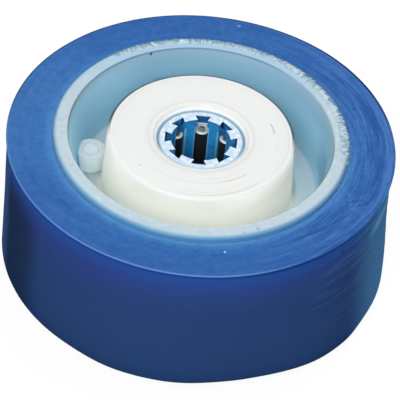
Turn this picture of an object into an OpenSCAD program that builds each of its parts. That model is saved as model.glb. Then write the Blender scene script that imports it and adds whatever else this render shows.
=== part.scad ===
// Trolley wheel: a polyurethane tyre on a nylon wheel centre, with a caged roller bearing in the hub.
// Millimetres. The origin is the middle of the wheel, and +Z runs along the axle.

/* [Tyre] */
// Outside diameter of the tyre at its moulding lip
tyre_d = 100; // [92:0.5:125]
// Width of the tyre from one side face to the other
tyre_w = 38.6; // [34:0.1:50]
// How far the moulding lip stands out from the tread
lip_out = 0.6; // [0.2:0.1:1]
// Thickness of the moulding lip
lip_t = 0.6; // [0.4:0.1:1.2]
// Edge radius between the tread and the lower side face
tread_edge_r = 1.2; // [0.5:0.1:3]

/* [Wheel centre] */
// Diameter of the joint between rim and tyre at the side faces
rim_d = 76.4; // [73:0.1:82]
// How far the rim's end faces stand proud of the tyre's side faces
rim_proud = 2.2; // [1.6:0.1:3]
// Thickness of the rim at its mouth
rim_mouth_t = 4; // [3:0.1:5]
// Slope of the rim's inner wall, in degrees from the axle direction
rim_slope = 11.5; // [5:0.5:13]
// Diameter of the hub at its end faces
hub_d = 48.4; // [42:0.1:51]
// How far the hub's end faces stand proud of the tyre's side faces
hub_proud = 1.9; // [0.8:0.1:3]
// Slope of the hub's outer wall, in degrees from the axle direction
hub_slope = 2; // [0.5:0.5:4]
// Thickness of the web between hub and rim
web_t = 8; // [4:0.1:9]
// Fillet between the web and the walls beside it
web_fillet_r = 1.5; // [1:0.1:2.2]
// Rounding of the hub's edge and of the rim's inner edge
face_edge_r = 0.6; // [0.2:0.1:0.8]
// Rounding of the rim's outer edge, above the tyre
rim_edge_r = 1.2; // [0.4:0.1:1.4]
// Chamfer at each end of the hub bore
bore_chamfer = 1; // [0.2:0.1:1.3]

/* [Moulding boss] */
// How many bosses stand on the upper side of the web
boss_count = 1; // [1:1:6]
// Direction of the first boss, in degrees from +X
boss_angle = 171; // [0:1:359]
// Diameter of a boss
boss_d = 8; // [5:0.1:9]
// Height of a boss above the web
boss_h = 5.2; // [2:0.1:8]
// How far a boss stands out of the channel's middle, towards the rim
boss_shift = 0.3; // [0:0.1:0.6]
// Rounding of the edge round the top of a boss
boss_edge_r = 0.4; // [0.2:0.1:0.7]
// Diameter of the dimple in the top of a boss
dimple_d = 4.2; // [2:0.1:4.4]
// Depth of the dimple in the top of a boss
dimple_h = 0.35; // [0.2:0.05:0.8]

/* [Grip between tyre and rim] */
// How many keying grooves run round the rim under the tyre
key_count = 3; // [1:1:4]
// Width of a groove at its bottom
key_w = 4.6; // [3.8:0.1:5]
// Width of a groove at its mouth
key_mouth_w = 3.6; // [2.5:0.1:4.4]
// Depth of a groove
key_depth = 1.6; // [0.8:0.1:1.8]
// Distance between the middles of two grooves
key_pitch = 8.5; // [6.5:0.1:9]

/* [Roller bearing] */
// Diameter of the axle that the rollers run on
axle_d = 15; // [10:0.5:16]
// Diameter of a roller
roller_d = 4; // [3.4:0.1:4.4]
// How many rollers the cage holds
roller_count = 8; // [6:1:10]
// Free travel of a roller along its pocket
roller_play = 2.2; // [0.5:0.1:5]
// Chamfer at the ends of a roller
roller_chamfer = 0.3; // [0.1:0.1:0.6]
// Running clearance between the rollers and the hub bore
bore_clear = 0.03; // [0.02:0.01:0.1]
// How far the ends of the cage lie below the hub's end faces
cage_recess = 1.3; // [0.5:0.1:2]
// Thickness of the cage's end rings along the axle
ring_t = 2.35; // [1.5:0.05:4]
// Clearance between the cage and the axle
cage_axle_clear = 0.2; // [0.1:0.05:0.4]
// Clearance between the cage and the hub bore
cage_bore_clear = 0.15; // [0.1:0.05:0.5]
// Clearance round a roller in its pocket
pocket_clear = 0.1; // [0.05:0.01:0.15]
// How much narrower than a roller the pocket's inner slot is
slot_grip = 0.7; // [0.4:0.1:1]
// How much narrower than a roller the pocket's outer snap slot is
snap_grip = 0.4; // [0.2:0.1:0.8]
// Width of an end ring's notch where it opens to the axle
notch_neck = 2.6; // [1.5:0.1:2.8]
// Width of an end ring's notch at its bottom
notch_w = 4; // [3:0.1:4.4]
// Wall of the end ring outside its notches
notch_wall = 2.1; // [1.2:0.1:2.4]
// Chamfer round the outer edge of the cage's ends
cage_chamfer = 0.7; // [0.1:0.1:0.9]

/* [Hidden] */
// Smoothness of round surfaces, and straight steps in a small rounded edge
$fn = 180;
arc_steps = 8;
// How far a cutting shape runs past the face that it opens
cut = 1;

// Tyre, rim, hub and web
tyre_r = tyre_d / 2;
tread_r = tyre_r - lip_out;
side_z = tyre_w / 2;
rim_r = rim_d / 2;
rim_z = side_z + rim_proud;
mouth_r = rim_r - rim_mouth_t;
hub_r = hub_d / 2;
hub_z = side_z + hub_proud;
floor_z = web_t / 2;

// Radius of the sloping walls of rim and hub at a height above the middle
function rim_wall_r(z) = mouth_r - (rim_z - z) * tan(rim_slope);
function hub_wall_r(z) = hub_r + (hub_z - z) * tan(hub_slope);

// The fillets leave some of the web level between them when the channel gets narrow
fillet_share = 0.5;
web_fillet = min(web_fillet_r, fillet_share * (rim_wall_r(floor_z) - hub_wall_r(floor_z)));

// The bosses stand near the middle of the channel, measured at their tops
boss_r = boss_d / 2;
boss_z = floor_z + boss_h;
boss_pitch_r = (rim_wall_r(boss_z) + hub_wall_r(boss_z)) / 2 + boss_shift;

// Bearing, from the axle outwards
roller_r = roller_d / 2;
pitch_r = axle_d / 2 + roller_r;
bore_r = pitch_r + roller_r + bore_clear;
cage_in_r = axle_d / 2 + cage_axle_clear;
cage_out_r = bore_r - cage_bore_clear;
cage_z = hub_z - cage_recess;
pocket_z = cage_z - ring_t;
pocket_r = roller_r + pocket_clear;
slot_w = roller_d - slot_grip;
snap_w = roller_d - snap_grip;
notch_r = cage_out_r - notch_wall;

// The wheel lies on its side, so each roller has dropped to the lower end of its pocket
roller_seat = 0.05;
roller_bottom = -pocket_z + roller_seat;
roller_top = pocket_z - roller_play;
roller_step = 360 / roller_count;
first_roller = 90;

// Points of a rounded edge, from one direction to another
function arc(centre, r, from, to) = [
  for (i = [0:arc_steps])
    let (a = from + (to - from) * i / arc_steps)
      centre + r * [cos(a), sin(a)]
];

// How far from a corner the centre of its rounding lies, along a level face that meets a sloping wall
function set_back(r, slope) = r * tan((90 - slope) / 2);

// Points mirrored to the lower side, in the opposite order
function below(points) = [for (i = [len(points) - 1:-1:0]) [points[i][0], -points[i][1]]];

// The keying grooves round the rim, from the upper one down
function key_points() = [
  for (i = [0:key_count - 1])
    let (z = key_pitch * ((key_count - 1) / 2 - i))
      each [
        [rim_r, z + key_mouth_w / 2],
        [rim_r - key_depth, z + key_w / 2],
        [rim_r - key_depth, z - key_w / 2],
        [rim_r, z - key_mouth_w / 2]
      ]
];

// Section of the wheel centre above the middle: hub bore, hub, recess and rim
function centre_points() = concat(
  [[bore_r, hub_z - bore_chamfer], [bore_r + bore_chamfer, hub_z]],
  arc([hub_r - set_back(face_edge_r, hub_slope), hub_z - face_edge_r], face_edge_r, 90, hub_slope),
  arc([hub_wall_r(floor_z) + set_back(web_fillet, hub_slope), floor_z + web_fillet],
      web_fillet, 180 + hub_slope, 270),
  arc([rim_wall_r(floor_z) - set_back(web_fillet, rim_slope), floor_z + web_fillet],
      web_fillet, 270, 360 - rim_slope),
  arc([mouth_r + set_back(face_edge_r, rim_slope), rim_z - face_edge_r], face_edge_r, 180 - rim_slope, 90),
  arc([rim_r - rim_edge_r, rim_z - rim_edge_r], rim_edge_r, 90, 0)
);

// Section of a boss, rooted in the middle of the web
function boss_points() = concat(
  [[0, 0], [boss_r, 0]],
  arc([boss_r - boss_edge_r, boss_z - boss_edge_r], boss_edge_r, 0, 90),
  [[dimple_d / 2, boss_z], [dimple_d / 2 - dimple_h, boss_z - dimple_h], [0, boss_z - dimple_h]]
);

module tyre() {
  color([0.22, 0.42, 0.72])
    rotate_extrude()
      polygon(concat(
        [[rim_r, side_z]],
        key_points(),
        [[rim_r, -side_z]],
        arc([tread_r - tread_edge_r, tread_edge_r - side_z], tread_edge_r, -90, 0),
        [[tread_r, side_z - lip_t - lip_out], [tyre_r, side_z - lip_t], [tyre_r, side_z]]
      ));
}

module wheel_centre() {
  color([0.90, 0.93, 0.93]) {
    rotate_extrude()
      polygon(concat(centre_points(), key_points(), below(centre_points())));
    for (i = [0:boss_count - 1])
      rotate(boss_angle + i * 360 / boss_count)
        translate([boss_pitch_r, 0, 0])
          rotate_extrude()
            polygon(boss_points());
  }
}

// Section of a roller pocket: round for the roller, open to the axle and to the hub bore
module pocket_section() {
  translate([pitch_r, 0])
    circle(r = pocket_r);
  translate([cage_in_r - cut, -slot_w / 2])
    square([pitch_r - cage_in_r + cut, slot_w]);
  translate([pitch_r, -snap_w / 2])
    square([cage_out_r - pitch_r + cut, snap_w]);
}

// Section of a dovetail notch in an end ring, open to the axle
module notch_section() {
  widen = (notch_w - notch_neck) / (notch_r - cage_in_r);
  polygon([
    [cage_in_r - cut, -(notch_neck - cut * widen) / 2],
    [notch_r, -notch_w / 2],
    [notch_r, notch_w / 2],
    [cage_in_r - cut, (notch_neck - cut * widen) / 2]
  ]);
}

module roller_cage() {
  color([0.10, 0.48, 0.72])
    difference() {
      rotate_extrude()
        polygon([
          [cage_in_r, -cage_z],
          [cage_out_r - cage_chamfer, -cage_z],
          [cage_out_r, cage_chamfer - cage_z],
          [cage_out_r, cage_z - cage_chamfer],
          [cage_out_r - cage_chamfer, cage_z],
          [cage_in_r, cage_z]
        ]);
      for (i = [0:roller_count - 1])
        rotate(first_roller + i * roller_step) {
          translate([0, 0, -pocket_z])
            linear_extrude(2 * pocket_z)
              pocket_section();
          translate([0, 0, -cage_z - cut])
            linear_extrude(2 * (cage_z + cut))
              notch_section();
        }
    }
}

module roller(i) {
  color([0.72, 0.73, 0.74])
    rotate(first_roller + (i - 1) * roller_step)
      translate([pitch_r, 0, 0])
        rotate_extrude()
          polygon([
            [0, roller_bottom],
            [roller_r - roller_chamfer, roller_bottom],
            [roller_r, roller_bottom + roller_chamfer],
            [roller_r, roller_top - roller_chamfer],
            [roller_r - roller_chamfer, roller_top],
            [0, roller_top]
          ]);
}

tyre();
wheel_centre();
roller_cage();
for (i = [1:roller_count])
  roller(i);
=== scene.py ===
import math
import bpy
from mathutils import Matrix, Vector


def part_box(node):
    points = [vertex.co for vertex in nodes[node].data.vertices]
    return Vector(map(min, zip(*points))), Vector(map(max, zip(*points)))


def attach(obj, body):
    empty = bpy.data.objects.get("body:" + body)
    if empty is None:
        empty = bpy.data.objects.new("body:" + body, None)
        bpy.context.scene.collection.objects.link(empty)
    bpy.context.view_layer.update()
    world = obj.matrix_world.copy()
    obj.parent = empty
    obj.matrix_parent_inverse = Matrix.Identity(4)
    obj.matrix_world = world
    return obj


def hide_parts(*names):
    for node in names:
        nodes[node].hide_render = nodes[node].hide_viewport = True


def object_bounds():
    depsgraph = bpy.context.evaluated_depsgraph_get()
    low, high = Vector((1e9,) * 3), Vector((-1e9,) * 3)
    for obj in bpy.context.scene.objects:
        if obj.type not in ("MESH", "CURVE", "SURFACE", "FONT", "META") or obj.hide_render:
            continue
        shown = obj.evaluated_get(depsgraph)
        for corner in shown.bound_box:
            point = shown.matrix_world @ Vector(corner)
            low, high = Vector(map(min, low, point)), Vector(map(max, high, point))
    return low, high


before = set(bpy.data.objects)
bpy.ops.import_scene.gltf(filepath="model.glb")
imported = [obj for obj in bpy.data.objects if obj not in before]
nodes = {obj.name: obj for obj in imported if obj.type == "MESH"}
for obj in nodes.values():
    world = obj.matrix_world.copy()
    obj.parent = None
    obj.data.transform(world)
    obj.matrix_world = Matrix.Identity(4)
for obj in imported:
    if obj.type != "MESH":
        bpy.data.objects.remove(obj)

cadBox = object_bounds()
mm = 0.001
print("frame loaded:", len(nodes), "nodes")


# small helpers for selecting and shaping by hand

def clearSelection():
    if bpy.context.object and bpy.context.object.mode != "OBJECT":
        bpy.ops.object.mode_set(mode="OBJECT")
    bpy.ops.object.select_all(action="DESELECT")


def activate(piece):
    clearSelection()
    piece.select_set(True)
    bpy.context.view_layer.objects.active = piece


def applyModifier(piece, name):
    activate(piece)
    bpy.ops.object.modifier_apply(modifier=name)


def startRing(name, place, steps):
    # a circle of edges, its place a radius and a height
    clearSelection()
    radius, height = place
    bpy.ops.mesh.primitive_circle_add(vertices=steps, radius=radius * mm, location=(0, 0, height * mm))
    piece = bpy.context.object
    piece.name = name
    piece.data.name = name
    bpy.ops.object.transform_apply(location=True, rotation=True, scale=True)
    return piece


def drawRings(rings):
    # draws the selected edges out from ring to ring, each a radius and a height
    radius, height = rings[0]
    for nextRadius, nextHeight in rings[1:]:
        grow = nextRadius / radius
        bpy.ops.mesh.extrude_edges_move()
        bpy.ops.transform.resize(value=(grow, grow, 1), center_override=(0, 0, 0))
        bpy.ops.transform.translate(value=(0, 0, (nextHeight - height) * mm))
        radius, height = nextRadius, nextHeight
    bpy.ops.mesh.select_all(action="SELECT")


def ringBand(name, section, steps):
    # a closed ring with this section
    piece = startRing(name, section[0], steps)
    bpy.ops.object.mode_set(mode="EDIT")
    bpy.ops.mesh.select_all(action="SELECT")
    drawRings(section + section[:1])
    bpy.ops.mesh.remove_doubles(threshold=0.002 * mm)
    bpy.ops.mesh.normals_make_consistent(inside=False)
    bpy.ops.object.mode_set(mode="OBJECT")
    return piece


def evenly(start, end, count):
    # points between two corners of a section, without the first
    points = []
    for i in range(1, count + 1):
        share = i / count
        points.append((start[0] + (end[0] - start[0]) * share, start[1] + (end[1] - start[1]) * share))
    return points


def rounded(centre, radius, fromAngle, toAngle, count):
    points = []
    for i in range(count + 1):
        angle = math.radians(fromAngle + (toAngle - fromAngle) * i / count)
        points.append((centre[0] + radius * math.cos(angle), centre[1] + radius * math.sin(angle)))
    return points


# small helpers for node materials

def startMaterial(name):
    material = bpy.data.materials.new(name)
    material.use_nodes = True
    tree = material.node_tree
    shader = tree.nodes["Principled BSDF"]
    return material, tree, shader


def feed(tree, socket, value):
    # a socket takes either another node's output or a plain value
    if hasattr(value, "is_output"):
        tree.links.new(value, socket)
    elif value is not None:
        socket.default_value = value


def wire(tree, shader, values):
    for name, value in values.items():
        feed(tree, shader.inputs[name], value)


def calc(tree, operation, first, second=None, third=None):
    node = tree.nodes.new("ShaderNodeMath")
    node.operation = operation
    feed(tree, node.inputs[0], first)
    feed(tree, node.inputs[1], second)
    feed(tree, node.inputs[2], third)
    return node.outputs[0]


def fadeBetween(tree, value, low, high):
    # 0 below low, 1 above high, smooth between them
    node = tree.nodes.new("ShaderNodeMapRange")
    node.interpolation_type = "SMOOTHSTEP"
    feed(tree, node.inputs["Value"], value)
    node.inputs["From Min"].default_value = low
    node.inputs["From Max"].default_value = high
    return node.outputs["Result"]


def linear(colour):
    # a colour read as screen values 0 to 255 becomes the light values that nodes use
    values = []
    for part in colour:
        share = part / 255
        values.append(share / 12.92 if share <= 0.04045 else ((share + 0.055) / 1.055) ** 2.4)
    return (values[0], values[1], values[2], 1)


def ramp(tree, value, low, high, stops):
    # colours at places between low and high
    share = tree.nodes.new("ShaderNodeMapRange")
    feed(tree, share.inputs["Value"], value)
    share.inputs["From Min"].default_value = low
    share.inputs["From Max"].default_value = high
    node = tree.nodes.new("ShaderNodeValToRGB")
    elements = node.color_ramp.elements
    while len(elements) < len(stops):
        elements.new(0.5)
    for element, (place, colour) in zip(elements, stops):
        element.position = (place - low) / (high - low)
        element.color = linear(colour)
    tree.links.new(share.outputs["Result"], node.inputs["Fac"])
    return node.outputs["Color"]


def mixColour(tree, amount, first, second, blend="MIX"):
    node = tree.nodes.new("ShaderNodeMix")
    node.data_type = "RGBA"
    node.blend_type = blend
    feed(tree, node.inputs["Factor"], amount)
    feed(tree, node.inputs[6], first)
    feed(tree, node.inputs[7], second)
    return node.outputs[2]


def vectorCalc(tree, operation, first, second=None):
    node = tree.nodes.new("ShaderNodeVectorMath")
    node.operation = operation
    feed(tree, node.inputs[0], first)
    feed(tree, node.inputs[1], second)
    return node


def wheelPlace(tree):
    # millimetres: the place itself, distance from the axle, height and level, and direction in degrees
    coordinates = tree.nodes.new("ShaderNodeTexCoord")
    place = vectorCalc(tree, "MULTIPLY", coordinates.outputs["Object"], (1000, 1000, 1000)).outputs[0]
    flat = vectorCalc(tree, "MULTIPLY", place, (1, 1, 0)).outputs[0]
    parts = tree.nodes.new("ShaderNodeSeparateXYZ")
    tree.links.new(place, parts.inputs[0])
    turn = calc(tree, "ARCTAN2", parts.outputs["Y"], parts.outputs["X"])
    return {
        "tree": tree, "place": place, "flat": flat,
        "unit": vectorCalc(tree, "NORMALIZE", flat).outputs[0],
        "radius": vectorCalc(tree, "LENGTH", flat).outputs["Value"],
        "height": parts.outputs["Z"],
        "level": calc(tree, "ABSOLUTE", parts.outputs["Z"]),
        "angle": calc(tree, "MULTIPLY", turn, 180 / math.pi),
    }


def towards(at, direction, whole, none):
    # 1 within so many degrees of a direction, fading to 0 further round
    tree = at["tree"]
    aim = (math.cos(math.radians(direction)), math.sin(math.radians(direction)), 0)
    share = vectorCalc(tree, "DOT_PRODUCT", at["unit"], aim).outputs["Value"]
    return fadeBetween(tree, share, math.cos(math.radians(none)), math.cos(math.radians(whole)))


def within(tree, value, low, high, soft):
    rise = fadeBetween(tree, value, low - soft, low + soft)
    fall = fadeBetween(tree, value, high - soft, high + soft)
    return calc(tree, "SUBTRACT", rise, fall)


def times(tree, *values):
    result = values[0]
    for value in values[1:]:
        result = calc(tree, "MULTIPLY", result, value)
    return result


def grain(at, kind):
    # noise at the place itself, or drawn out round the wheel without a seam where the kind has turns
    tree = at["tree"]
    place = at["place"]
    if "turns" in kind:
        spread = vectorCalc(tree, "MULTIPLY", at["unit"], (kind["turns"], kind["turns"], 0)).outputs[0]
        third = tree.nodes.new("ShaderNodeCombineXYZ")
        along = at[kind.get("along", "radius")]
        tree.links.new(calc(tree, "MULTIPLY", along, kind["rate"]), third.inputs["Z"])
        place = vectorCalc(tree, "ADD", spread, third.outputs[0]).outputs[0]
    node = tree.nodes.new("ShaderNodeTexNoise")
    tree.links.new(place, node.inputs["Vector"])
    node.inputs["Scale"].default_value = kind.get("scale", 1)
    node.inputs["Detail"].default_value = kind.get("detail", 3)
    node.inputs["Roughness"].default_value = kind.get("roughness", 0.5)
    return node.outputs["Fac"]


def where(at, mark, pattern=None):
    # how strongly a mark shows: two limits fade it in from the first to the second, and three keep it
    # between the first two, with soft ends of the third
    tree = at["tree"]
    parts = []
    if "towards" in mark:
        facing = towards(at, *mark["towards"])
        if "least" in mark:
            facing = calc(tree, "MULTIPLY_ADD", facing, 1 - mark["least"], mark["least"])
        parts.append(facing)
    for measure in ("radius", "level", "height"):
        if measure in mark:
            shape = within if len(mark[measure]) == 3 else fadeBetween
            parts.append(shape(tree, at[measure], *mark[measure]))
    if "pattern" in mark:
        parts.append(fadeBetween(tree, pattern, *mark["pattern"]))
    if "share" in mark:
        parts.append(mark["share"])
    return times(tree, *parts)


def paint(at, colour, marks, pattern=None, strength=None):
    # lays one mark after another over a colour, as a tone of its own or as a factor
    tree = at["tree"]
    for mark in marks:
        amount = where(at, mark, pattern)
        if strength is not None:
            amount = times(tree, amount, strength)
        if "factor" in mark:
            colour = mixColour(tree, amount, colour, mark["factor"], "MULTIPLY")
        else:
            colour = mixColour(tree, amount, colour, linear(mark["tone"]))
    return colour


def speck(at, centre, radius):
    # a round mark in one place
    tree = at["tree"]
    away = vectorCalc(tree, "DISTANCE", at["place"], centre).outputs["Value"]
    return calc(tree, "SUBTRACT", 1, fadeBetween(tree, away, radius * 0.5, radius * 1.4))


def addSpecks(at, colour, specks):
    tree = at["tree"]
    for centre, radius, tone, share in specks:
        amount = times(tree, speck(at, centre, radius), share)
        colour = mixColour(tree, amount, colour, linear(tone))
    return colour


def bump(tree, shader, height, distance, strength):
    node = tree.nodes.new("ShaderNodeBump")
    node.inputs["Strength"].default_value = strength
    node.inputs["Distance"].default_value = distance
    tree.links.new(height, node.inputs["Height"])
    tree.links.new(node.outputs["Normal"], shader.inputs["Normal"])


def dress(piece, material):
    piece.data.materials.clear()
    piece.data.materials.append(material)


# camera, at the photograph's viewing angle
cameraSettings = {
    "distance": 1.2,
    "elevation": 42.542,
    "roll": 5.732,
    "lens": 416.11,
    "aim": (1.314 * mm, -1.065 * mm, 0),
}


def placeCamera(settings):
    rise = math.radians(settings["elevation"])
    away = settings["distance"]
    place = Vector((0, -away * math.cos(rise), away * math.sin(rise)))
    look = (Vector(settings["aim"]) - place).to_track_quat("-Z", "Y")
    roll = Matrix.Rotation(math.radians(settings["roll"]), 3, "Z").to_quaternion()
    bpy.ops.object.camera_add(location=place)
    camera = bpy.context.object
    camera.name = "photoCamera"
    camera.rotation_mode = "QUATERNION"
    camera.rotation_quaternion = look @ roll
    camera.data.sensor_width = 36
    camera.data.lens = settings["lens"]
    camera.data.clip_start = 0.05
    camera.data.clip_end = 50
    bpy.context.scene.camera = camera


clearSelection()
placeCamera(cameraSettings)
bpy.context.scene.view_settings.view_transform = "Standard"
print("camera placed")


# soft studio light, all lamps further away than any camera
lampSettings = {
    "overhead": {"place": (0.4, 0.7, 3.2), "size": 2.4, "power": 18},
    "front": {"place": (-0.6, -2.5, 2.2), "size": 2.4, "power": 80},
    "back": {"place": (0.9, 2.6, 1.9), "size": 2.2, "power": 24},
}
worldSettings = {"ambient": 0.3, "seen": 1.0}


def addLamp(name, settings):
    bpy.ops.object.light_add(type="AREA", location=settings["place"])
    lamp = bpy.context.object
    lamp.name = name
    lamp.data.shape = "DISK"
    lamp.data.size = settings["size"]
    lamp.data.energy = settings["power"]
    lamp.rotation_mode = "QUATERNION"
    lamp.rotation_quaternion = (-Vector(settings["place"])).to_track_quat("-Z", "Y")


def seenDirectly(tree):
    # 1 for camera, glossy and transmission rays, 0 for the light that falls on the wheel
    path = tree.nodes.new("ShaderNodeLightPath")
    direct = calc(tree, "MAXIMUM", path.outputs["Is Camera Ray"], path.outputs["Is Glossy Ray"])
    return calc(tree, "MAXIMUM", direct, path.outputs["Is Transmission Ray"])


def lightWorld(settings):
    world = bpy.data.worlds.new("studio")
    bpy.context.scene.world = world
    world.use_nodes = True
    tree = world.node_tree
    background = tree.nodes["Background"]
    background.inputs["Color"].default_value = (1, 1, 1, 1)
    span = settings["seen"] - settings["ambient"]
    strength = calc(tree, "MULTIPLY_ADD", seenDirectly(tree), span, settings["ambient"])
    tree.links.new(strength, background.inputs["Strength"])


for lampName, lampPlace in lampSettings.items():
    addLamp(lampName, lampPlace)
lightWorld(worldSettings)
print("lamps and world ready")


# plain pale floor that keeps the wheel's shadow
floorSettings = {"size": 30, "colour": 0.75, "glow": 0.86, "strength": 1.07}


def layFloor(settings):
    clearSelection()
    bpy.ops.mesh.primitive_plane_add(size=settings["size"], location=(0, 0, cadBox[0][2]))
    floor = bpy.context.object
    floor.name = "floor"
    bpy.ops.object.transform_apply(location=True, rotation=True, scale=True)
    material, tree, shader = startMaterial("paleFloor")
    grey = settings["colour"]
    wire(tree, shader, {"Base Color": (grey, grey, grey, 1), "Roughness": 0.9, "Specular IOR Level": 0})
    glow = tree.nodes.new("ShaderNodeEmission")
    glow.inputs["Strength"].default_value = settings["strength"]
    mix = tree.nodes.new("ShaderNodeMixShader")
    share = calc(tree, "MULTIPLY", seenDirectly(tree), settings["glow"])
    tree.links.new(share, mix.inputs["Fac"])
    tree.links.new(shader.outputs["BSDF"], mix.inputs[1])
    tree.links.new(glow.outputs["Emission"], mix.inputs[2])
    tree.links.new(mix.outputs["Shader"], tree.nodes["Material Output"].inputs["Surface"])
    dress(floor, material)


layFloor(floorSettings)
print("floor laid")


# polyurethane tyre
tyreSettings = {
    "outerRadius": 50,
    "lipThickness": 0.6,
    "lipEdge": 0.25,
    "lipUnderEdge": 0.2,
    "halfWidth": 19.3,
    "rimRadius": 38.2,
    "lowerEdge": 1.2,
    "treadLine": [(49.3, 18.2), (49.5, 17.3), (49.65, 15.5), (49.6, 8), (49.45, 0), (49.4, -18.1)],
    "rowHeight": 0.55,
    "grooveWidth": 4.6,
    "grooveMouth": 3.6,
    "grooveDepth": 1.6,
    "groovePitch": 8.5,
    "steps": 360,
    # towards: a direction, and the degrees to each side of it that something holds and ends at
    "waves": {
        "ripple": {"along": "NORMAL", "size": 0.4, "clouds": (0.25, 2), "towards": (-24, 18, 46),
                   "radius": (47.6, 48), "height": (17.8, 14.3), "lower": (-16, -4)},
        "side": {"along": "Z", "size": 0.16, "clouds": (0.12, 3), "towards": (-6, 30, 75), "least": 0.3,
                 "radius": (38.6, 41), "height": (19.1, 19.25)},
        "lip": {"along": "Z", "size": 0.5, "clouds": (0.16, 2), "towards": (-12, 22, 50), "least": 0.12,
                "radius": (48.6, 49.7), "height": (18.1, 18.6)},
    },
    "bulges": {
        "lowRight": {"size": 1.2, "towards": (-4, 6, 24), "radius": (44, 49), "height": (10.3, -16.7)},
        "lowFront": {"size": 1.65, "towards": (-39, 4, 30), "radius": (44, 49), "height": (10.3, -16.7)},
        "lowLeft": {"size": 0.7, "towards": (259, 8, 26), "radius": (44, 49), "height": (10.3, -16.7)},
        "lipRight": {"size": 0.32, "towards": (14, 34, 75), "radius": (47, 49.5), "height": (18.1, 18.6)},
    },
    # colours and marks of the casting, with painted light and shade among them, in the order that they are
    # laid on
    # the side is painted lighter towards the rim corner, painted light that lifts the shade in the corner
    "sideColours": [
        (38, (146, 196, 232)), (38.3, (110, 168, 216)), (38.9, (86, 148, 205)), (39.6, (73, 133, 195)),
        (40.8, (61, 114, 182)), (43, (57, 107, 177)), (48.4, (57, 104, 174)), (49.4, (58, 106, 175)),
        (50, (60, 108, 176))],
    "paleLeft": [{"tone": (78, 134, 194), "towards": (172, 10, 44), "share": 0.4}],
    "bands": {"turns": 1.9, "rate": 0.62, "roughness": 0.55},
    "bandMarks": [
        {"tone": (84, 130, 198), "pattern": (0.5, 0.66)},
        {"tone": (44, 84, 158), "pattern": (0.5, 0.34)},
    ],
    "bandReach": {"towards": (0, 34, 78), "least": 0.25, "share": 0.56},
    "mottle": {"scale": 0.55, "detail": 4, "roughness": 0.65},
    "mottleMarks": [
        {"tone": (84, 130, 198), "pattern": (0.5, 0.66), "share": 0.22},
        {"tone": (44, 84, 158), "pattern": (0.5, 0.34), "share": 0.3},
    ],
    "edgeMarks": [
        {"tone": (44, 84, 158), "radius": (45.2, 47.0, 0.8), "towards": (2, 16, 34), "share": 0.5},
        {"tone": (84, 130, 198), "radius": (47.9, 49.3, 0.5), "towards": (6, 18, 40), "share": 0.55},
    ],
    "strokes": {"turns": 5, "rate": 2.0, "detail": 2, "roughness": 0.6},
    "strokeMarks": [
        {"tone": (84, 130, 198), "pattern": (0.5, 0.64)},
        {"tone": (44, 84, 158), "pattern": (0.5, 0.36)},
    ],
    "strokeReach": {"towards": (0, 34, 78), "least": 0.19, "share": 0.42},
    "backLine": [{"tone": (20, 34, 88), "radius": (49.45, 49.75), "towards": (96, 62, 92), "share": 0.9}],
    "fold": {"start": 47.9, "slope": 0.11, "sway": 1.6, "width": (0.42, 0.1), "towards": (-38, 6, 15)},
    "foldWave": {"scale": 0.5, "detail": 2},
    "foldTone": (30, 62, 122),
    "foldShare": 0.4,
    "swirl": {"scale": 0.62, "detail": 2, "roughness": 0.4},
    "swirlDark": {"place": (40.6, -17.4, 19.3), "size": 3.2, "pattern": (0.52, 0.6)},
    # the swirl's light side is a painted highlight
    "swirlHighlight": {"place": (40.8, -17.8, 19.3), "size": 3.4, "pattern": (0.46, 0.38)},
    "swirlHighlightTone": (112, 176, 222),
    "swirlHighlightShare": 0.14,
    # a painted highlight along the lip's edge on the side
    "lipHighlightOnSide": [
        {"tone": (100, 140, 206), "radius": (49.66, 49.82), "towards": (232, 48, 76), "share": 0.9}],
    # the tread is painted lighter towards its top and darker towards the bottom, painted light
    "treadColours": [
        (-19.5, (30, 58, 100)), (-15, (38, 66, 112)), (-6, (42, 67, 115)), (5, (42, 67, 117)),
        (10, (44, 69, 125)), (13.5, (46, 70, 136)), (16, (40, 76, 146)), (18, (36, 78, 154))],
    "ridges": {"along": "height", "turns": 3.2, "rate": 1.25, "roughness": 0.55},
    # a violet tint on the left, then painted shade on the left, a painted reflection near the left edge and
    # painted light on the right
    "treadTintAndPaintedLight": [
        {"tone": (48, 60, 128), "towards": (222, 8, 40), "height": (6, 16, 4), "share": 0.35},
        {"tone": (30, 45, 72), "towards": (204, 2, 17), "height": (19, 8), "share": 0.85},
        {"tone": (66, 96, 142), "towards": (184, 5, 16), "share": 0.6},
        {"tone": (74, 126, 174), "towards": (0, 6, 36)},
    ],
    "ridgeReach": {"towards": (-17, 16, 38), "height": (-13, 3)},
    # painted highlights and painted shade along the ridges, over their bump relief
    "ridgeHighlightsAndShade": [
        {"tone": (112, 176, 222), "pattern": (0.52, 0.64), "share": 0.1},
        {"tone": (28, 56, 114), "pattern": (0.48, 0.36), "share": 0.28},
    ],
    "ridgeRelief": 0.5,
    # a painted glint on the tread, painted shade under the lip and a painted highlight on the lip's edge
    "lipHighlightsAndShade": [
        {"tone": (112, 176, 222), "towards": (-14, 3, 12), "height": (9.8, 13.2, 1.2), "share": 0.5},
        {"tone": (26, 50, 110), "towards": (-25, 25, 60), "height": (17.6, 18.8, 0.3), "least": 0.412,
         "share": 0.85},
        {"tone": (100, 140, 206), "towards": (232, 48, 76), "height": (18.88, 19.05)},
    ],
    "upperSide": {"height": (19.0, 19.2)},
    "specks": [
        ((7.05, 47.05, 19.3), 0.5, (120, 175, 215), 0.7),
        ((8.78, -40.3, 19.3), 0.32, (196, 226, 244), 0.9),
        ((8.0, -41.3, 19.3), 0.5, (40, 84, 150), 0.5),
        ((38.8, 18.5, 19.3), 0.34, (36, 68, 118), 0.8),
        ((38.3, -31.6, 15.2), 0.45, (24, 44, 100), 0.8),
    ],
    "skin": {"scale": 1.6, "roughness": 0.6},
    "skinShare": 0.3,
}


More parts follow.
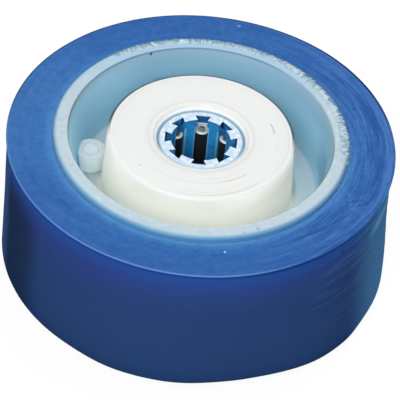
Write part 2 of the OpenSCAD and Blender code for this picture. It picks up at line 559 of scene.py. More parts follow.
def tyreSection(settings):
    # from the rim outwards over the upper side, down the tread and back up inside
    outer = settings["outerRadius"]
    half = settings["halfWidth"]
    lip = half - settings["lipThickness"]
    rim = settings["rimRadius"]
    upper = settings["lipEdge"]
    under = settings["lipUnderEdge"]
    edge = settings["lowerEdge"]
    section = [(rim, half)]
    section += evenly((rim, half), (outer - upper, half), 26)
    section += rounded((outer - upper, half - upper), upper, 90, 0, 4)[1:]
    section += rounded((outer - under, lip + under), under, 0, -90, 3)
    line = settings["treadLine"]
    section += [line[0]]
    for above, below in zip(line, line[1:]):
        section += evenly(above, below, max(1, round((above[1] - below[1]) / settings["rowHeight"])))
    section += rounded((line[-1][0] - edge, edge - half), edge, 0, -90, 6)[1:]
    section += evenly(section[-1], (rim, -half), 8)
    bottom = rim - settings["grooveDepth"]
    mouth = settings["grooveMouth"] / 2
    width = settings["grooveWidth"] / 2
    for row in (-1, 0, 1):
        middle = row * settings["groovePitch"]
        section += [(rim, middle - mouth), (bottom, middle - width)]
        section += [(bottom, middle + width), (rim, middle + mouth)]
    return section


def smoothRise(value, low, high):
    share = min(1, max(0, (value - low) / (high - low)))
    return share * share * (3 - 2 * share)


def weighPoints(piece, name, rule):
    # a vertex group whose weights follow a rule of radius, direction and height
    group = piece.vertex_groups.new(name=name)
    for vertex in piece.data.vertices:
        x, y, z = vertex.co / mm
        weight = rule(math.hypot(x, y), math.degrees(math.atan2(y, x)), z)
        if weight > 0.01:
            group.add([vertex.index], weight, "REPLACE")


def wearRule(spot):
    # full near the spot's direction, fading between its limits of radius and height
    direction, full, none = spot["towards"]
    least = spot.get("least", 0)

    def rule(radius, angle, height):
        off = abs((angle - direction + 180) % 360 - 180)
        weight = least + (1 - least) * (1 - smoothRise(off, full, none))
        weight *= smoothRise(radius, *spot["radius"]) * smoothRise(height, *spot["height"])
        return weight * smoothRise(height, *spot["lower"]) if "lower" in spot else weight

    return rule


def mapRound(piece, settings):
    # a flat map of the tyre: round the wheel one way, along its section the other, seam at the back
    layer = piece.data.uv_layers.new(name="round")
    for loop in piece.data.loops:
        x, y, z = piece.data.vertices[loop.vertex_index].co / mm
        turn = (math.degrees(math.atan2(y, x)) - 120) % 360 / 360
        radius = math.hypot(x, y)
        along = radius - 38 if z > settings["halfWidth"] - 0.2 else 12 + settings["halfWidth"] - z
        layer.data[loop.index].uv = (2.8 * turn, 0.07 * along)


def pushOut(piece, name, direction, size, texture=None, flatMap=None):
    # moves the points of a vertex group by a texture, or all by the same size
    push = piece.modifiers.new("push", "DISPLACE")
    push.direction = direction
    push.strength = size * mm
    push.vertex_group = name
    push.mid_level = 0.5 if texture else 0
    if texture:
        push.texture = texture
        push.texture_coords = "UV" if flatMap else "LOCAL"
    if flatMap:
        push.uv_layer = flatMap
    applyModifier(piece, "push")


def clouds(name, scale, depth):
    texture = bpy.data.textures.new(name, "CLOUDS")
    texture.noise_scale = scale
    texture.noise_depth = depth
    return texture


def wearTyre(piece, settings):
    # the casting's unevenness: ripples, a side and a lip that aren't quite true, and low bulges
    mapRound(piece, settings)
    for name, spot in {**settings["waves"], **settings["bulges"]}.items():
        weighPoints(piece, name, wearRule(spot))
    for name, spot in settings["waves"].items():
        pushOut(piece, name, spot["along"], spot["size"], clouds(name, *spot["clouds"]), "round")
    for name, spot in settings["bulges"].items():
        turn = math.radians(spot["towards"][0])
        pushOut(piece, name, "X", spot["size"] * math.cos(turn))
        pushOut(piece, name, "Y", spot["size"] * math.sin(turn))


def sideColour(tree, at, settings):
    # the flat side: paler on the left, bands and strokes that grow stronger on the right
    # lighter next to the rim as painted light against the corner's shade
    side = ramp(tree, at["radius"], 38, 50, settings["sideColours"])
    side = paint(at, side, settings["paleLeft"])
    bands = grain(at, settings["bands"])
    side = paint(at, side, settings["bandMarks"], bands, where(at, settings["bandReach"]))
    side = paint(at, side, settings["mottleMarks"], grain(at, settings["mottle"]))
    side = paint(at, side, settings["edgeMarks"])
    strokes = grain(at, settings["strokes"])
    side = paint(at, side, settings["strokeMarks"], strokes, where(at, settings["strokeReach"]))
    return paint(at, side, settings["backLine"])


def foldMarks(tree, at, colour, settings):
    # a dark line and a small swirl of folded skin on the flat side, the swirl with a painted highlight
    fold = settings["fold"]
    wander = calc(tree, "MULTIPLY_ADD", at["angle"], fold["slope"], fold["start"])
    wave = calc(tree, "MULTIPLY_ADD", grain(at, settings["foldWave"]), fold["sway"], -fold["sway"] / 2)
    off = calc(tree, "ABSOLUTE", calc(tree, "ADD", calc(tree, "SUBTRACT", at["radius"], wander), wave))
    line = times(tree, fadeBetween(tree, off, *fold["width"]), towards(at, *fold["towards"]))
    swirl = grain(at, settings["swirl"])
    marks = []
    for mark in (settings["swirlDark"], settings["swirlHighlight"]):
        spot = speck(at, mark["place"], mark["size"])
        marks.append(times(tree, fadeBetween(tree, swirl, *mark["pattern"]), spot))
    dark = times(tree, calc(tree, "MAXIMUM", line, marks[0]), settings["foldShare"])
    colour = mixColour(tree, dark, colour, linear(settings["foldTone"]))
    # painted highlight on the light side of the swirl
    light = times(tree, marks[1], settings["swirlHighlightShare"])
    return mixColour(tree, light, colour, linear(settings["swirlHighlightTone"]))


def tyreMaterial(settings):
    material, tree, shader = startMaterial("bluePolyurethane")
    at = wheelPlace(tree)
    side = foldMarks(tree, at, sideColour(tree, at, settings), settings)
    # painted highlight along the lip's edge
    side = paint(at, side, settings["lipHighlightOnSide"])
    ridges = grain(at, settings["ridges"])
    # painted light: lighter towards the top of the tread
    tread = ramp(tree, at["height"], -20, 20, settings["treadColours"])
    # violet tint, painted shade, painted reflection and painted light on the tread
    tread = paint(at, tread, settings["treadTintAndPaintedLight"])
    ridged = where(at, settings["ridgeReach"])
    # painted highlights and painted shade on the ridges
    tread = paint(at, tread, settings["ridgeHighlightsAndShade"], ridges, ridged)
    # painted glint, painted shade under the lip and painted highlight on the lip
    tread = paint(at, tread, settings["lipHighlightsAndShade"])
    upper = where(at, settings["upperSide"])
    colour = addSpecks(at, mixColour(tree, upper, tread, side), settings["specks"])
    wire(tree, shader, {"Base Color": colour, "Roughness": 0.6, "Specular IOR Level": 0})
    skin = times(tree, grain(at, settings["skin"]), settings["skinShare"])
    onTread = calc(tree, "SUBTRACT", 1, upper)
    relief = times(tree, ridges, onTread, ridged, settings["ridgeRelief"])
    bump(tree, shader, calc(tree, "ADD", skin, relief), 0.0006, 0.35)
    return material


def makeTyre(settings):
    piece = ringBand("tyreCast", tyreSection(settings), settings["steps"])
    wearTyre(piece, settings)
    dress(piece, tyreMaterial(settings))
    activate(piece)
    bpy.ops.object.shade_smooth_by_angle(angle=math.radians(40))
    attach(piece, "wheel")
    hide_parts("tyre")
    return piece


tyre = makeTyre(tyreSettings)
print("tyre cast:", len(tyre.data.polygons), "faces")


# nylon wheel centre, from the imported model
centreSettings = {
    # the hub's face, painted brighter near the bore and at its outer edge as painted highlights
    "hubFaceColours": [
        (11.5, (248, 253, 255)), (12.6, (246, 250, 250)), (13.2, (238, 241, 239)), (13.7, (230, 233, 231)),
        (14.3, (241, 243, 241)), (22.6, (241, 242, 239)), (23.4, (248, 249, 244)), (24.2, (243, 244, 238))],
    "hubWallColours": [
        (5, (232, 228, 214)), (12, (240, 232, 216)), (17, (244, 237, 224)), (20, (247, 240, 230))],
    # painted shade on the far side of the hub's wall
    "hubFarSideShade": [{"tone": (150, 176, 188), "towards": (90, 84, 97), "share": 0.6}],
    "hubFace": {"level": (20.7, 21.05)},
    # the bore: a band of painted shade tinted by the blue cage just above the cage, and a painted highlight
    # on its edge
    "boreColours": [
        (12, (246, 250, 250)), (18.9, (246, 250, 250)), (19.1, (132, 172, 190)), (19.7, (138, 178, 194)),
        (19.95, (226, 240, 246)), (20.3, (246, 246, 242)), (21.2, (246, 245, 240))],
    "bore": {"radius": (12.62, 12.5)},
    # a painted highlight round the back of the bore's edge
    "backRingHighlight": [
        {"tone": (250, 246, 238), "radius": (11.7, 13, 0.3), "towards": (92, 45, 80), "share": 0.7}],
    # a painted shade line along the hub's far edge and down its far wall
    "farEdgeShade": [
        {"radius": (23.3, 23.6), "level": (20.1, 20.5), "towards": (90, 80, 100)},
        {"radius": (23.9, 24.1), "level": (9, 15), "towards": (87, 91, 97), "share": 0.6},
    ],
    "farEdgeTone": (56, 86, 102),
    "frontRing": [
        {"tone": (226, 234, 237), "radius": (11, 12.2, 0.3), "towards": (270, 55, 80), "level": (19, 19.5),
         "share": 0.8}],
    # turned lines on the hub's face: radius, direction, degrees to each side, share and tone
    "ringMarks": [
        (17.85, -90, 56, 0.2, (196, 198, 190)), (17.85, -58, 16, 0.3, (150, 158, 152)),
        (18.4, -84, 40, 0.2, (252, 253, 250)), (21.3, -84, 30, 0.25, (200, 202, 190)),
        (22.4, -74, 36, 0.34, (186, 190, 182)), (22.0, -60, 26, 0.25, (192, 195, 186)),
        (20.2, -70, 30, 0.16, (206, 209, 200)), (16.3, -64, 26, 0.16, (206, 209, 204)),
        (23.0, -100, 26, 0.25, (204, 206, 194)), (19.0, 17, 8, 0.5, (146, 149, 142)),
        (19.8, 4, 26, 0.16, (206, 210, 208)), (22.6, 8, 40, 0.2, (200, 206, 206)),
        (13.6, 20, 80, 0.14, (216, 222, 222)), (14.6, 200, 90, 0.14, (220, 224, 220)),
        (20.6, 170, 40, 0.14, (222, 226, 222)), (15.6, 90, 70, 0.1, (224, 227, 224))],
    "ringStrength": 2.3,
    "ringHalfWidth": 0.08,
    "rimWallColours": [
        (4, (176, 210, 230)), (8, (158, 210, 234)), (14, (160, 213, 240)), (18, (162, 211, 231)),
        (20.8, (178, 214, 235))],
    # the rim wall darkened towards the back as painted shade, a painted shadow line below the hub's far
    # edge, and painted shade low on the right
    "rimWallPaintedShade": [
        {"factor": (0.84, 0.84, 0.88, 1), "towards": (78, 20, 72)},
        {"tone": (58, 90, 104), "towards": (92, 8, 27), "level": (13.6, 12.9), "share": 0.7},
        {"factor": (0.62, 0.66, 0.72, 1), "towards": (-4, 4, 28), "level": (8, 15, 1.5)},
    ],
    # the channel floor, with a painted highlight along the fillet at the rim wall
    "floorColours": [
        (25, (222, 230, 222)), (27, (206, 222, 224)), (29.3, (196, 216, 224)), (31.5, (218, 234, 246))],
    "floorTop": {"level": (4.5, 5.6)},
    "rimFaceColours": [
        (34, (176, 196, 204)), (34.5, (192, 212, 220)), (35, (194, 213, 223)), (37.1, (192, 212, 224)),
        (37.4, (174, 202, 220))],
    "patches": {"scale": 0.42, "detail": 4, "roughness": 0.7},
    "rimFaceMarks": [
        {"tone": (180, 196, 208), "pattern": (0.5, 0.66), "share": 0.5},
        {"tone": (214, 230, 238), "pattern": (0.48, 0.34), "share": 0.5},
        {"tone": (158, 203, 233), "towards": (92, 20, 75), "radius": (38, 37.2), "share": 0.75},
    ],
    # the rim's outer shoulder, lighter at its foot as painted light against the shade of the corner
    "shoulderColours": [
        (19.3, (108, 168, 212)), (19.8, (92, 154, 202)), (20.3, (88, 149, 194)), (20.7, (98, 154, 194)),
        (21.0, (114, 162, 194)), (21.3, (152, 184, 206)), (21.47, (184, 208, 222))],
    "shoulder": {"radius": (37.1, 37.3)},
    # a painted shade line at the gap between rim and tyre
    "gapShadeLine": [{"tone": (62, 106, 146), "towards": (38, 30, 58), "radius": (37.55, 37.95)}],
    # a painted shade line along the rim's inner edge, stronger in three arcs
    "innerShadeLine": {"radius": (34.05, 34.4, 0.1), "least": 0.15, "more": 0.65, "tone": (72, 112, 134)},
    "innerLineArcs": [
        {"towards": (194, 22, 46)}, {"towards": (-34, 24, 46)}, {"towards": (105, 38, 60), "share": 0.8}],
    "rimTop": {"level": (20.88, 21.2), "radius": (33, 33.6)},
    "rimOutside": {"radius": (36.2, 36.6)},
    "channel": {"radius": (25.2, 26.6)},
    "boss": {"direction": 171, "away": 28.46, "edge": (4.2, 4.08), "rimSlope": 11.5, "wall": (29.6, 29.3)},
    "bossFoot": {"height": (4.1, 4.6)},
    "bossTop": {"height": (9.45, 9.25)},
    "bossRings": [(2.0, 2.35, 0.2), (2.9, 3.15, 0.2)],
    "bossRingShares": (0.6, 0.4),
    "bossTone": (226, 236, 238),
    "bossRingTone": (180, 196, 208),
    "specks": [
        ((-15.19, 30.49, 20.85), 0.42, (56, 70, 80), 0.9),
        ((-28.72, 11.47, 5.6), 0.3, (70, 84, 92), 0.6),
        ((-14.9, -13.2, 21.2), 0.3, (176, 178, 170), 0.5),
        ((16.5, -33.05, 21.5), 0.5, (140, 148, 150), 0.5),
        ((19.9, -30.7, 21.5), 0.4, (150, 158, 160), 0.45),
        ((13.1, -34.9, 21.5), 0.4, (150, 160, 164), 0.4),
    ],
    # painted glow that stands in for light coming through the nylon
    "hubGlow": [
        (5, (96, 92, 84)), (10, (136, 126, 112)), (14, (142, 130, 114)), (18, (92, 77, 63)),
        (21, (60, 50, 44))],
    "hubWall": {"radius": (23.9, 25.6, 0.15), "level": (21.1, 20.6)},
    "hubDarkSide": {"towards": (90, 86, 98)},
    "sideGlow": [
        {"tone": (138, 130, 122), "towards": (194, 14, 40), "level": (14, 19), "share": 0.85},
        {"tone": (138, 130, 122), "towards": (-28, 24, 54), "level": (14, 19)},
    ],
    "wallGlow": [
        {"tone": (54, 73, 73), "radius": (29, 33.8, 0.4), "level": (18, 13), "towards": (62, 30, 66)}],
    "leftGlow": [
        (9, (20, 24, 26)), (12, (34, 50, 56)), (15, (52, 72, 78)), (18, (68, 92, 108)),
        (20.8, (88, 108, 124))],
    "leftWall": {"radius": (29, 33.8, 0.4), "level": (8, 11), "towards": (166, 18, 52)},
    "boreGlow": [{"tone": (120, 126, 130), "radius": (11.9, 11.7), "level": (10, 14)}],
    "bossGlow": [{"tone": (92, 94, 88), "height": (9.0, 8.6)}],
    "channelGlow": [
        {"tone": (44, 58, 64), "level": (9, 5), "radius": (25.4, 33, 0.3), "towards": (30, 26, 60)}],
    "spread": 0.7,
    "turned": {"turns": 2, "rate": 3.2, "detail": 2},
    "grain": {"scale": 1.4, "roughness": 0.6},
}


def hubPart(tree, at, settings):
    # the hub's face, wall and bore, with a painted highlight on its turned edge and painted shade on its
    # far side
    hubFace = ramp(tree, at["radius"], 11, 25, settings["hubFaceColours"])
    hubWall = ramp(tree, at["level"], 4, 21.2, settings["hubWallColours"])
    # painted shade on the far side of the wall
    hubWall = paint(at, hubWall, settings["hubFarSideShade"])
    colour = mixColour(tree, where(at, settings["hubFace"]), hubWall, hubFace)
    # painted shade and a painted highlight on the bore wall
    bore = ramp(tree, at["level"], 11, 21.3, settings["boreColours"])
    colour = mixColour(tree, where(at, settings["bore"]), colour, bore)
    # painted highlight at the back of the bore
    colour = paint(at, colour, settings["backRingHighlight"])
    # painted shade line along the far edge
    edge = calc(tree, "MAXIMUM", *[where(at, mark) for mark in settings["farEdgeShade"]])
    colour = mixColour(tree, edge, colour, linear(settings["farEdgeTone"]))
    colour = paint(at, colour, settings["frontRing"])
    half = settings["ringHalfWidth"]
    for radius, direction, span, share, tone in settings["ringMarks"]:
        line = {"tone": tone, "radius": (radius - half, radius + half, half * 2), "level": (20.9, 21.1),
                "towards": (direction, span * 0.3, span), "share": share * settings["ringStrength"]}
        colour = paint(at, colour, [line])
    return colour, edge


def rimPart(tree, at, settings):
    # channel floor, inner wall and end face of the rim
    rimWall = ramp(tree, at["level"], 4, 21, settings["rimWallColours"])
    # painted shade and a painted shadow on the rim wall
    rimWall = paint(at, rimWall, settings["rimWallPaintedShade"])
    floor = ramp(tree, at["radius"], 24, 33, settings["floorColours"])
    channel = mixColour(tree, where(at, settings["floorTop"]), floor, rimWall)

    rimFace = ramp(tree, at["radius"], 33.5, 37.5, settings["rimFaceColours"])
    rimFace = paint(at, rimFace, settings["rimFaceMarks"], grain(at, settings["patches"]))
    # painted light at the shoulder's foot
    shoulder = ramp(tree, at["height"], 19, 21.5, settings["shoulderColours"])
    rimFace = mixColour(tree, where(at, settings["shoulder"]), rimFace, shoulder)
    # painted shade line at the gap
    rimFace = paint(at, rimFace, settings["gapShadeLine"])
    # painted shade line along the inner edge
    inner = settings["innerShadeLine"]
    left, front, back = [where(at, arc) for arc in settings["innerLineArcs"]]
    strong = calc(tree, "ADD", calc(tree, "ADD", left, front), back)
    strong = calc(tree, "MULTIPLY_ADD", strong, inner["more"], inner["least"])
    line = times(tree, within(tree, at["radius"], *inner["radius"]), strong)
    rimFace = mixColour(tree, line, rimFace, linear(inner["tone"]))
    onRim = calc(tree, "MAXIMUM", where(at, settings["rimTop"]), where(at, settings["rimOutside"]))
    return mixColour(tree, onRim, channel, rimFace)


def bossShare(tree, at, settings):
    # 1 on the moulding boss, with its rings as a second value
    boss = settings["boss"]
    turn = math.radians(boss["direction"])
    middle = (boss["away"] * math.cos(turn), boss["away"] * math.sin(turn), 0)
    off = vectorCalc(tree, "DISTANCE", at["flat"], middle).outputs["Value"]
    slope = -math.tan(math.radians(boss["rimSlope"]))
    wall = calc(tree, "MULTIPLY_ADD", at["height"], slope, at["radius"])
    share = times(tree, fadeBetween(tree, off, *boss["edge"]), fadeBetween(tree, wall, *boss["wall"]),
                  where(at, settings["bossFoot"]), where(at, settings["bossTop"]))
    rings = []
    for limits, amount in zip(settings["bossRings"], settings["bossRingShares"]):
        rings.append(times(tree, within(tree, off, *limits), amount))
    return share, calc(tree, "ADD", *rings)


def nylonGlow(tree, at, boss, settings):
    # painted glow: the nylon glows where little light falls on it, standing in for light that comes through
    # it
    lit = calc(tree, "SUBTRACT", 1, where(at, settings["hubDarkSide"]))
    onWall = times(tree, where(at, settings["hubWall"]), lit)
    glow = mixColour(tree, onWall, (0, 0, 0, 1), ramp(tree, at["level"], 4, 21.2, settings["hubGlow"]))
    glow = paint(at, glow, settings["sideGlow"], strength=onWall)
    glow = paint(at, glow, settings["wallGlow"])
    left = ramp(tree, at["level"], 8, 21, settings["leftGlow"])
    glow = mixColour(tree, where(at, settings["leftWall"]), glow, left)
    glow = paint(at, glow, settings["boreGlow"])
    glow = paint(at, glow, settings["bossGlow"], strength=boss)
    return paint(at, glow, settings["channelGlow"])


def centreMaterial(settings):
    material, tree, shader = startMaterial("naturalNylon")
    at = wheelPlace(tree)
    hub, edge = hubPart(tree, at, settings)
    inChannel = where(at, settings["channel"])
    colour = mixColour(tree, inChannel, hub, rimPart(tree, at, settings))
    boss, rings = bossShare(tree, at, settings)
    bossColour = mixColour(tree, rings, linear(settings["bossTone"]), linear(settings["bossRingTone"]))
    colour = addSpecks(at, mixColour(tree, boss, colour, bossColour), settings["specks"])
    wire(tree, shader, {
        "Base Color": colour, "Roughness": 0.45, "Specular IOR Level": 0.2,
        # the emission is the painted glow
        "Emission Color": nylonGlow(tree, at, boss, settings), "Emission Strength": 1,
        # no light spreads under the painted shade line of the far edge, which keeps it sharp
        "Subsurface Weight": calc(tree, "MULTIPLY_ADD", edge, -settings["spread"], settings["spread"]),
        "Subsurface Radius": (1, 1, 1), "Subsurface Scale": 0.006,
    })
    turned = times(tree, grain(at, settings["turned"]), 0.5)
    skin = calc(tree, "MULTIPLY_ADD", grain(at, settings["grain"]), 0.5, turned)
    bump(tree, shader, skin, 0.0002, 0.25)
    return material


dress(nodes["wheel_centre"], centreMaterial(centreSettings))
print("wheel centre finished")


# ragged nylon left along the outer edge of the rim
scrapSettings = {
    "start": -22,
    "end": 150,
    "taper": 22,
    "rings": [
        (35.5, 21.42), (35.8, 21.52), (36.3, 21.54), (36.7, 21.56), (37.1, 21.55), (37.4, 21.5),
        (37.7, 21.42), (38.0, 21.3), (38.3, 21.16)],
    "steps": 1200,
    "ragged": 0.85,
    "scrapSize": 0.9,
    "sink": 0.9,
    "thickness": 0.08,
    # the scraps darken towards their outer edge, a painted shade line outside the pale band
    "colours": [
        (35.5, (190, 212, 224)), (36.3, (176, 203, 217)), (36.9, (154, 186, 204)), (37.5, (116, 156, 184)),
        (38.1, (74, 120, 160))],
    "grain": {"turns": 62, "rate": 0.75, "roughness": 0.65},
    "grainMarks": [
        {"tone": (208, 226, 234), "pattern": (0.5, 0.62), "share": 0.45},
        {"tone": (100, 140, 168), "pattern": (0.5, 0.38), "share": 0.45},
    ],
    "drift": {"scale": 0.22, "detail": 2},
    "driftShare": 1.2,
    "white": {"radius": (36.3, 37.9, 0.3), "pattern": (0.5, 0.6)},
    "whiteLeast": 0.14,
    "whiteMore": 0.72,
    "whiteArcs": [{"towards": (108, 7, 20)}, {"towards": (26, 24, 50), "share": 0.45}],
    "whiteTone": (236, 243, 245),
    "skin": {"scale": 3, "detail": 2},
}


def scrapMaterial(settings):
    material, tree, shader = startMaterial("nylonScraps")
    at = wheelPlace(tree)
    scraps = grain(at, settings["grain"])
    drift = calc(tree, "SUBTRACT", grain(at, settings["drift"]), 0.5)
    patch = calc(tree, "MULTIPLY_ADD", drift, settings["driftShare"], scraps)
    # darker outward as painted shade
    colour = ramp(tree, at["radius"], 35.5, 38.3, settings["colours"])
    colour = paint(at, colour, settings["grainMarks"], scraps)
    bright = calc(tree, "MAXIMUM", *[where(at, arc) for arc in settings["whiteArcs"]])
    bright = calc(tree, "MULTIPLY_ADD", bright, settings["whiteMore"], settings["whiteLeast"])
    white = times(tree, where(at, settings["white"], patch), bright)
    colour = mixColour(tree, white, colour, linear(settings["whiteTone"]))
    wire(tree, shader, {"Base Color": colour, "Roughness": 0.6, "Specular IOR Level": 0.1})
    bump(tree, shader, grain(at, settings["skin"]), 0.0002, 0.3)
    return material


def makeScraps(settings):
    start, end = settings["start"], settings["end"]
    piece = startRing("rimScraps", settings["rings"][0], settings["steps"])
    bpy.ops.object.mode_set(mode="EDIT")
    bpy.ops.mesh.select_mode(type="VERT")
    bpy.ops.mesh.select_all(action="DESELECT")
    bpy.ops.object.mode_set(mode="OBJECT")
    for vertex in piece.data.vertices:
        angle = math.degrees(math.atan2(vertex.co.y, vertex.co.x))
        vertex.select = not start <= angle <= end
    bpy.ops.object.mode_set(mode="EDIT")
    bpy.ops.mesh.delete(type="VERT")
    bpy.ops.mesh.select_all(action="SELECT")
    drawRings(settings["rings"])
    bpy.ops.mesh.normals_make_consistent(inside=False)
    bpy.ops.object.mode_set(mode="OBJECT")

    # the ends of the arc sink into the rim, and between them the outer edge is ragged
    def sinkRule(radius, angle, height):
        return 1 - smoothRise(min(angle - start, end - angle), 0, settings["taper"])

    def raggedRule(radius, angle, height):
        return (1 - sinkRule(radius, angle, height)) * smoothRise(radius, 37, 38.4)

    weighPoints(piece, "ragged", raggedRule)
    weighPoints(piece, "sink", sinkRule)
    pushOut(piece, "sink", "Z", -settings["sink"])
    texture = clouds("scraps", settings["scrapSize"] * mm, 1)
    for direction, size in (("X", 1), ("Y", -1), ("Z", 0.35)):
        pushOut(piece, "ragged", direction, settings["ragged"] * size, texture)
    skin = piece.modifiers.new("skin", "SOLIDIFY")
    skin.thickness = settings["thickness"] * mm
    applyModifier(piece, "skin")
    dress(piece, scrapMaterial(settings))
    activate(piece)
    bpy.ops.object.shade_smooth_by_angle(angle=math.radians(30))
    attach(piece, "wheel")


makeScraps(scrapSettings)
print("scraps along the rim made")


# blue plastic cage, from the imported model
cageSettings = {
    "first": 90,
    "step": 45,
    "mottle": {"scale": 0.5, "roughness": 0.6},
    "barTone": (42, 144, 206),
    "barLowTone": (50, 120, 160),
    "barTop": {"height": (-14, 6)},
    "barMarks": [{"tone": (30, 100, 162), "pattern": (0.5, 0.36), "share": 0.4}],
    # painted highlights along the edges of the bars
    "edgeHighlights": {"across": (1.98, 1.76), "radius": (8.3, 8.0), "level": (17.6, 17.4), "share": 0.8},
    "edgeHighlightTone": (130, 206, 232),
    "notchWall": (30, 100, 162),
    # painted glints on the notch walls
    "notchGlints": [{"tone": (64, 168, 214), "pattern": (0.47, 0.58), "share": 0.75}],
    # painted shade in the outer corners of the notches
    "cornerShade": {"across": (0.9, 1.8), "radius": (8.75, 9.2), "share": 0.85},
    "cornerShadeTone": (14, 30, 88),
    "notch": {"level": (17.3, 17.7), "radius": (7.78, 7.95)},
    # a painted shade line where the bars meet the end
    "topShadeLine": [{"tone": (14, 30, 88), "level": (19.45, 19.8, 0.12), "radius": (7.9, 7.8), "share": 0.6}],
    # the end faces painted pale, a painted reflection of the light on the blue plastic; the chamfer band in
    # teal, with a painted highlight at the front
    "endFaceSheen": (196, 220, 242),
    "endGrain": {"scale": 0.7},
    "endMarks": [{"tone": (226, 240, 250), "pattern": (0.44, 0.62)}],
    "endBand": (142, 180, 196),
    "frontBandHighlight": [{"tone": (200, 214, 221), "towards": (270, 50, 75)}],
    "band": {"radius": (10.5, 10.8)},
    "endTop": {"level": (19.82, 19.88)},
    "endChamfer": {"radius": (10.5, 10.65), "level": (18.8, 19.1)},
    "skin": {"scale": 1.2},
    "edge": 0.12,
}


def foldRound(at, first, step):
    # how far round from the nearest of the directions that are a step apart, in radians
    tree = at["tree"]
    turn = calc(tree, "SUBTRACT", at["angle"], first - step * 10.5)
    fold = calc(tree, "SUBTRACT", calc(tree, "MODULO", turn, step), step / 2)
    return calc(tree, "MULTIPLY", fold, math.pi / 180)


def cageMaterial(settings):
    material, tree, shader = startMaterial("blueCagePlastic")
    at = wheelPlace(tree)
    fold = calc(tree, "ABSOLUTE", foldRound(at, settings["first"], settings["step"]))
    across = calc(tree, "MULTIPLY", calc(tree, "SINE", fold), at["radius"])
    mottle = grain(at, settings["mottle"])

    barTop = where(at, settings["barTop"])
    bars = mixColour(tree, barTop, linear(settings["barLowTone"]), linear(settings["barTone"]))
    bars = paint(at, bars, settings["barMarks"], mottle)
    # painted highlights along the bar edges
    lines = settings["edgeHighlights"]
    onHighlight = times(tree, fadeBetween(tree, across, *lines["across"]), where(at, lines))
    bars = mixColour(tree, onHighlight, bars, linear(settings["edgeHighlightTone"]))

    # painted glints on the notch walls
    notch = paint(at, linear(settings["notchWall"]), settings["notchGlints"], mottle)
    # painted shade in the notch corners
    cornerShade = settings["cornerShade"]
    inCornerShade = times(tree, fadeBetween(tree, across, *cornerShade["across"]), where(at, cornerShade))
    notch = mixColour(tree, inCornerShade, notch, linear(settings["cornerShadeTone"]))
    colour = mixColour(tree, where(at, settings["notch"]), bars, notch)
    # painted shade line at the top of the bars
    colour = paint(at, colour, settings["topShadeLine"])

    # painted reflection on the end faces, painted highlight on the band at the front
    ends = paint(at, linear(settings["endFaceSheen"]), settings["endMarks"], grain(at, settings["endGrain"]))
    band = paint(at, linear(settings["endBand"]), settings["frontBandHighlight"])
    ends = mixColour(tree, where(at, settings["band"]), ends, band)
    onEnd = calc(tree, "MAXIMUM", where(at, settings["endTop"]), where(at, settings["endChamfer"]))
    colour = mixColour(tree, onEnd, colour, ends)
    wire(tree, shader, {"Base Color": colour, "Roughness": 0.3, "Specular IOR Level": 0.4})
    bump(tree, shader, grain(at, settings["skin"]), 0.0002, 0.15)
    return material


def finishCage(settings):
    cage = nodes["roller_cage"]
    dress(cage, cageMaterial(settings))
    weld = cage.modifiers.new("weld", "WELD")
    weld.merge_threshold = 0.004 * mm
    soften = cage.modifiers.new("soften", "BEVEL")
    soften.width = settings["edge"] * mm
    soften.segments = 2
    soften.limit_method = "ANGLE"
    soften.angle_limit = math.radians(40)


finishCage(cageSettings)
print("cage finished")


# hardened steel rollers
rollerSettings = {
    "count": 8,
    "pitchRadius": 9.5,
    "first": 90,
    "radius": 2.0,
    "chamfer": 0.3,
    "rim": 0.7,
    "dish": 0.25,
    "sides": 64,
    "sideTone": (64, 70, 70),
    "endRim": (228, 234, 236),
    "endMiddle": (170, 172, 152),
    "endDepth": (0.34, 0.28),
    "middle": (1.2, 0.95),
    "stain": {"scale": 1.1},
    "stainLimits": (0.48, 0.6),
    "stainTone": (84, 84, 74),
    "lightDirection": (90, 14, 28),
    "shade": (-1.0, -0.2),
    "shadeTone": (62, 82, 92),
    "shadeShare": 0.9,
    "skin": {"scale": 3, "detail": 2},
}


def steelMaterial(settings):
    material, tree, shader = startMaterial("rollerSteel")
    at = wheelPlace(tree)
    # the roller's own place across and outward, and the distance from its own axis
    fold = foldRound(at, settings["first"], 360 / settings["count"])
    across = calc(tree, "MULTIPLY", calc(tree, "SINE", fold), at["radius"])
    along = calc(tree, "MULTIPLY", calc(tree, "COSINE", fold), at["radius"])
    outward = calc(tree, "SUBTRACT", along, settings["pitchRadius"])
    squares = calc(tree, "ADD", calc(tree, "POWER", across, 2), calc(tree, "POWER", outward, 2))
    own = calc(tree, "SQRT", squares)
    low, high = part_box("roller_1")
    bottom, top = low.z / mm, high.z / mm
    start, full = settings["endDepth"]
    end = calc(tree, "MAXIMUM", fadeBetween(tree, at["height"], top - start, top - full),
               fadeBetween(tree, at["height"], bottom + start, bottom + full))
    middle = fadeBetween(tree, own, *settings["middle"])
    stained = fadeBetween(tree, grain(at, settings["stain"]), *settings["stainLimits"])
    face = mixColour(tree, middle, linear(settings["endRim"]), linear(settings["endMiddle"]))
    face = mixColour(tree, times(tree, stained, middle), face, linear(settings["stainTone"]))

    # only the end that faces the light stays bright, the others lie in the shade of the bore
    turnedAway = calc(tree, "SUBTRACT", 1, towards(at, *settings["lightDirection"]))
    inner = calc(tree, "MAXIMUM", middle, fadeBetween(tree, outward, *settings["shade"]))
    shade = times(tree, turnedAway, inner, settings["shadeShare"])
    face = mixColour(tree, shade, face, linear(settings["shadeTone"]))
    colour = mixColour(tree, end, linear(settings["sideTone"]), face)
    metallic = calc(tree, "MULTIPLY_ADD", end, -0.45, 0.7)
    roughness = calc(tree, "MULTIPLY_ADD", end, 0.2, 0.3)
    wire(tree, shader, {"Base Color": colour, "Metallic": metallic, "Roughness": roughness})
    bump(tree, shader, grain(at, settings["skin"]), 0.0001, 0.1)
    return material


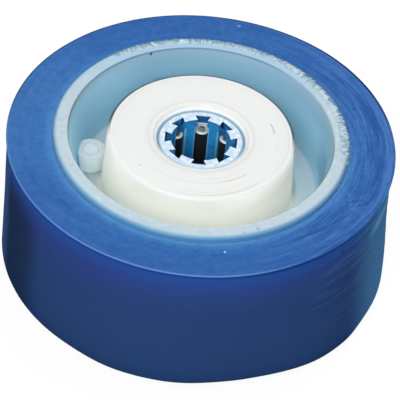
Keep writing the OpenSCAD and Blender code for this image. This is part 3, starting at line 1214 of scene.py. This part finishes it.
def turnRoller(settings):
    # one roller on the axis: chamfered ends, each with a shallow dish
    low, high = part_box("roller_1")
    clearSelection()
    bpy.ops.mesh.primitive_cylinder_add(
        vertices=settings["sides"], radius=settings["radius"] * mm, depth=high.z - low.z,
        location=(0, 0, (high.z + low.z) / 2))
    roller = bpy.context.object
    bpy.ops.object.transform_apply(location=True, rotation=True, scale=True)
    bpy.ops.object.mode_set(mode="EDIT")
    bpy.ops.mesh.select_mode(type="FACE")
    for outward in (1, -1):
        bpy.ops.mesh.select_all(action="DESELECT")
        bpy.ops.object.mode_set(mode="OBJECT")
        for face in roller.data.polygons:
            face.select = face.normal.z * outward > 0.9
        bpy.ops.object.mode_set(mode="EDIT")
        bpy.ops.mesh.inset(thickness=settings["rim"] * mm)
        bpy.ops.mesh.extrude_region_move(
            TRANSFORM_OT_translate={"value": (0, 0, -outward * settings["dish"] * mm)})
        bpy.ops.transform.resize(value=(0.7, 0.7, 1), center_override=(0, 0, 0))
    bpy.ops.object.mode_set(mode="OBJECT")
    edges = roller.modifiers.new("edges", "BEVEL")
    edges.width = settings["chamfer"] * mm
    edges.segments = 3
    edges.limit_method = "ANGLE"
    edges.angle_limit = math.radians(60)
    applyModifier(roller, "edges")
    return roller


def makeRollers(settings):
    steel = steelMaterial(settings)
    pattern = turnRoller(settings)
    for number in range(settings["count"]):
        activate(pattern)
        bpy.ops.object.duplicate(linked=False)
        roller = bpy.context.object
        roller.name = "steelRoller_" + str(number + 1)
        roller.data.name = roller.name
        direction = math.radians(settings["first"] + number * 360 / settings["count"])
        away = settings["pitchRadius"] * mm
        roller.location = (away * math.cos(direction), away * math.sin(direction), 0)
        roller.rotation_euler = (0, 0, direction)
        bpy.ops.object.transform_apply(location=True, rotation=True, scale=True)
        bpy.ops.object.shade_smooth_by_angle(angle=math.radians(35))
        dress(roller, steel)
        node = "roller_" + str(number + 1)
        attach(roller, node)
        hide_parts(node)
    activate(pattern)
    bpy.ops.object.delete()


makeRollers(rollerSettings)
print("rollers turned")
